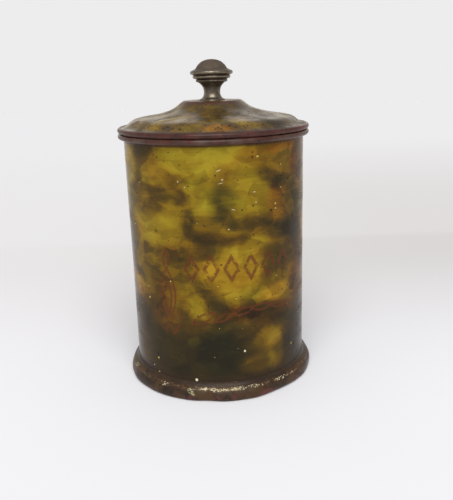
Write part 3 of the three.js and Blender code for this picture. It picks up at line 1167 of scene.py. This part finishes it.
def side_seam():
    """The lap of the wall's two edges: a low strip with rounded edges, wiped with solder."""
    lift, hold = 0.42 * MM, 0.12 * MM
    edge = [(-SEAM_HALF, -hold), (-SEAM_HALF, 0.2 * MM), (-SEAM_HALF + 0.25 * MM, lift)]
    top = [(x * SEAM_HALF, lift) for x in (-0.6, 0, 0.6)]
    section = [*edge, *top, *((-across, up) for across, up in reversed(edge)), (0, -hold)]
    rows, count = 90, len(section)
    points = [
        seam_spot(across, wall_outside + up, height)
        for height in np.linspace(SEAM_LOW, SEAM_HIGH, rows)
        for across, up in section
    ]
    faces = []
    for row in range(0, (rows - 1) * count, count):
        for a in range(count):
            b = (a + 1) % count
            faces.append((row + a, row + b, row + count + b, row + count + a))
    faces += [range(count)[::-1], range((rows - 1) * count, rows * count)]
    mesh = new_mesh("side_seam_lap", points, faces)
    clean = bmesh.new()
    clean.from_mesh(mesh)
    bmesh.ops.recalc_face_normals(clean, faces=clean.faces)
    clean.to_mesh(mesh)
    clean.free()
    smooth_but_sharp_at(mesh, 40)
    return new_piece("side_seam_lap", mesh)


# ------------ what repeats

def new_grower(name, **inputs):
    """A geometry node tree with a geometry input and output and named inputs (label: kind)."""
    tree = bpy.data.node_groups.new(name, "GeometryNodeTree")
    for label, kind in {"Geometry": "Geometry", **inputs}.items():
        tree.interface.new_socket(label, in_out="INPUT", socket_type="NodeSocket" + kind)
    tree.interface.new_socket("Geometry", in_out="OUTPUT", socket_type="NodeSocketGeometry")
    return inside(tree)


def random_between(b, low, high, seed):
    """A random number, or for two vectors a random vector, between low and high."""
    kind, least, made = ("FLOAT_VECTOR", 0, 0) if isinstance(low, tuple) else ("FLOAT", 2, 1)
    node = b.tree.nodes.new("FunctionNodeRandomValue")
    node.data_type = kind
    for number, value in ((least, low), (least + 1, high), (8, seed)):
        b.feed(node.inputs[number], value)
    return node.outputs[made]


def put_at(b, points, shape, turn, size):
    """Ends a tree: a shape at every point, made real and given the material."""
    placed = b.place(
        "GeometryNodeInstanceOnPoints", Points=points, Instance=shape, Rotation=turn, Scale=size,
    )
    real = b.add("GeometryNodeRealizeInstances", placed[0])
    return b.give(Geometry=b.add("GeometryNodeSetMaterial", real, None, b.given["Material"]))


def flake_scatter():
    """Flakes and crumbs scattered over a surface between two heights, gathered in patches."""
    b = new_grower(
        "flake_scatter", Density="Float", Lowest="Float", Highest="Float", Patchiness="Float",
        Middle="Vector", Thinning="Float", Smallest="Float", Largest="Float", Thickness="Float",
        Seed="Int", Material="Material",
    )
    place = b.add("GeometryNodeInputPosition")
    up = b.parts(place)[2]
    above = b.math("GREATER_THAN", up, b.given["Lowest"])
    below = b.math("LESS_THAN", up, b.given["Highest"])
    away = b.vector("DISTANCE", place, b.given["Middle"], out=1)
    scarcity = b.times_plus(away, b.given["Thinning"], b.given["Patchiness"])
    gathered = b.math("GREATER_THAN", b.noise(place, 70.0, 3.0), scarcity)
    chosen = b.times(b.times(above, below), gathered)
    scatter = b.place(
        "GeometryNodeDistributePointsOnFaces", Mesh=b.given["Geometry"], Selection=chosen,
        Density=b.given["Density"], Seed=b.given["Seed"],
    )
    lean = random_between(b, (-0.12, -0.12, 0), (0.12, 0.12, 2 * math.pi), 3)
    turn = b.add("FunctionNodeRotateRotation", scatter["Rotation"], lean, rotation_space="LOCAL")
    width = random_between(b, b.given["Smallest"], b.given["Largest"], 5)
    length = b.times(width, random_between(b, 1.0, 2.2, 6))
    size = b.join(length, width, b.given["Thickness"])
    return put_at(b, scatter["Points"], b.add("GeometryNodeMeshIcoSphere", 0.5, 1), turn, size)


def solder_run():
    """Overlapping ripples of solder along a line."""
    b = new_grower(
        "solder_run", Count="Int", Length="Float", Width="Float", Thickness="Float", Seed="Int",
        Material="Material",
    )
    path = b.add("GeometryNodeMeshToCurve", b.given["Geometry"])
    spaced = b.place("GeometryNodeResampleCurve", Curve=path, Count=b.given["Count"])
    tangent = b.add("GeometryNodeInputTangent")
    along = b.add("FunctionNodeAlignRotationToVector", None, None, tangent, axis="X")
    vary = random_between(b, 0.75, 1.2, b.given["Seed"])
    size = b.vector("MULTIPLY", b.join(b.given["Length"], b.given["Width"], b.given["Thickness"]), vary)
    return put_at(b, spaced[0], b.add("GeometryNodeMeshIcoSphere", 0.5, 2), along, size)


def grow(name, source, tree, **values):
    """Runs a tree on a mesh and keeps the result as a plain piece."""
    piece = new_piece(name, source)
    modifier = piece.modifiers.new("grow", "NODES")
    modifier.node_group = tree
    for item in tree.interface.items_tree:
        if item.in_out == "INPUT" and item.name in values:
            modifier[item.identifier] = values[item.name]
    plain_mesh(piece).data.shade_smooth()
    return piece


def path_mesh(points, closed=False):
    count = len(points)
    edges = [(i, (i + 1) % count) for i in range(count if closed else count - 1)]
    return new_mesh("path", points, [], edges)


def mesh_of(name):
    return bpy.data.objects[name].data


def ring_points(radius, height, steps=240):
    turn = np.arange(steps) * 2 * math.pi / steps
    return np.column_stack((radius * np.cos(turn), radius * np.sin(turn), np.full(steps, height)))


# ------------ the pieces

for piece, body, slot, nodes, *materials in (
    (body_shell(), "canister", "body_lacquer", ["body_shell"], wall_lacquer, rim_lacquer, tinplate),
    (edge_wire("body_rim_wire_round", body_bead_height), "canister", "wire", ["body_rim_wire"], iron),
    (bottom_disc(), "canister", "tinplate", ["bottom_disc"], tinplate),
    (foot_band(), "canister", "foot_lacquer", ["foot_band"], foot_lacquer),
    (lid_dome(), "lid", "lid_lacquer", ["lid_dome"], lid_lacquer, rim_lacquer, tinplate),
    (edge_wire("lid_rim_wire_round", lid_bead_height), "lid_carrier", "wire", ["lid_rim_wire"], iron),
    (lid_collar(), "lid", "tinplate", ["lid_collar"], tinplate),
    (knob(), "lid", "knob_metal", ["knob"], white_metal, dull_patina),
    (knob_screw(), "lid", "screw_steel", ["knob_screw"], iron),
    (knob_washer(), "lid", "tinplate", ["knob_washer"], tinplate),
    (side_seam(), "canister", "body_lacquer", [], wall_lacquer),
):
    settle(piece, body, slot, *nodes, materials=materials)

flakes = flake_scatter()
ripples = solder_run()
ridge_flakes = grow(
    "foot_ridge_flakes", mesh_of("foot_band_moulded"), flakes, Density=1.5e6,
    Lowest=0.64 * foot_top, Highest=0.77 * foot_top, Patchiness=0.47, Middle=(0, -foot_radius, 0),
    Thinning=2.2, Smallest=0.25 * MM, Largest=0.6 * MM, Thickness=0.25 * MM, Seed=4,
    Material=cream_ground,
)
settle(ridge_flakes, "canister", "foot_lacquer")
crumbs = grow(
    "wall_paint_crumbs", mesh_of("body_shell_worn"), flakes, Density=800.0, Lowest=13 * MM,
    Highest=148 * MM, Patchiness=0.5, Thinning=0.0, Smallest=0.3 * MM, Largest=0.55 * MM,
    Thickness=0.3 * MM, Seed=11, Material=cream_ground,
)
settle(crumbs, "canister", "body_lacquer")
for side, label in ((-1, "left"), (1, "right")):
    across = side * (SEAM_HALF + 0.1 * MM)
    heights = np.linspace(SEAM_LOW, SEAM_HIGH, 60)
    seam_line = path_mesh([seam_spot(across, wall_outside + 0.05 * MM, height) for height in heights])
    run = grow(
        "seam_solder_" + label, seam_line, ripples, Count=150, Length=1.5 * MM, Width=0.8 * MM,
        Thickness=0.5 * MM, Seed=side + 2, Material=wall_lacquer,
    )
    settle(run, "canister", "body_lacquer")
base_line = path_mesh(ring_points(wall_inside - 0.1 * MM, top_of("bottom_disc") - 0.2 * MM), closed=True)
base_ring = grow(
    "base_solder_ring", base_line, ripples, Count=260, Length=1.9 * MM, Width=1.1 * MM,
    Thickness=1.0 * MM, Seed=8, Material=solder,
)
settle(base_ring, "canister", "tinplate")


# ------------ floor, light and camera

def pale_floor():
    """A pale table top and a pale ground beyond, with painted shade: greyer towards the table's far edge and
    to the right.
    """
    corners = [(-3, -3, 0), (3, -3, 0), (3, 3, 0), (-3, 3, 0)]
    floor = new_piece("floor", new_mesh("floor", corners, [(0, 1, 2, 3)]))
    b = new_material("floor_paper", specular=0.0)
    place = b.add("ShaderNodeTexCoord", out=3)
    right, back = b.parts(place)[:2]
    near_tone = b.mix(b.noise(place, 3.0, 2.0), (0.88, 0.88, 0.91, 1), (0.91, 0.91, 0.92, 1))
    # Painted shade: the table turns greyer towards its far edge, more so to the right, and the ground by its
    # edge is greyer to the right too.
    to_right = b.span(right, -0.25, 0.25)
    far_shade_tone = b.mix(to_right, (0.79, 0.77, 0.77, 1), (0.68, 0.66, 0.65, 1))
    table = b.mix(b.span(back, -0.08, 0.26), near_tone, far_shade_tone)
    edge_shade_tone = b.mix(to_right, (0.8, 0.79, 0.79, 1), (0.72, 0.7, 0.69, 1))
    ground = b.mix(b.span(back, 0.35, 1.4), edge_shade_tone, (0.82, 0.815, 0.82, 1))
    color = b.mix(b.span(back, 0.3, 0.33), table, ground)
    floor.data.materials.append(finish_material(b, color, 0.6))


def soft_room():
    """Light from all round: bright walls, a dimmer ceiling, and warmer, dimmer sides in reflections."""
    world = bpy.data.worlds.new("soft_room")
    world.use_nodes = True
    b = Board(world.node_tree)
    right, _, up = b.parts(b.add("ShaderNodeTexCoord", out=0))
    rays = b.place("ShaderNodeLightPath")
    pale = (0.85, 0.845, 0.85, 1)
    wall = b.mix(b.span(right, 0.3, 0.8), pale, (0.5, 0.49, 0.48, 1))
    wall = b.mix(b.span(right, -0.35, -0.9), wall, (0.64, 0.63, 0.63, 1))
    warmed = b.mix(1.0, wall, (1.0, 0.94, 0.84, 1), "MULTIPLY")
    wall = b.mix(rays["Is Glossy Ray"], wall, warmed)
    seen = b.mix(rays["Is Camera Ray"], wall, pale)
    color = b.mix(b.span(up, 0.15, 0.8), seen, (0.42, 0.42, 0.43, 1))
    b.feed(world.node_tree.nodes["Background"].inputs["Color"], color)
    bpy.context.scene.world = world


def window_light(name, towards, strength, spread):
    """A broad, even light, like a window's, shining from the given direction."""
    data = bpy.data.lights.new(name, "SUN")
    data.energy = strength
    data.angle = math.radians(spread)
    turn = Vector(towards).to_track_quat("Z", "Y")
    new_piece(name, data).matrix_world = turn.to_matrix().to_4x4()


def camera():
    yaw, pitch, roll = (math.radians(a) for a in (1.22, 17.05, -1.62))
    ahead = Vector((math.sin(yaw) * math.cos(pitch), math.cos(yaw) * math.cos(pitch), -math.sin(pitch)))
    right = Vector((math.cos(yaw), -math.sin(yaw), 0))
    up = right.cross(ahead)
    tilted_right = right * math.cos(roll) + up * math.sin(roll)
    tilted_up = up * math.cos(roll) - right * math.sin(roll)
    data = bpy.data.cameras.new("camera")
    data.lens = 45.5
    data.shift_x = -0.0086
    data.shift_y = 0.0252
    data.clip_start = 0.01
    data.clip_end = 20
    lens = new_piece("camera", data)
    turn = Matrix((tilted_right, tilted_up, -ahead)).transposed().to_4x4()
    lens.matrix_world = Matrix.Translation((0, -0.3968, 0.1906)) @ turn
    bpy.context.scene.camera = lens


pale_floor()
soft_room()
window_light("front_window", (0.0, -1.0, 1.2), 2.25, 50)
camera()
bpy.context.scene.view_settings.view_transform = "Standard"
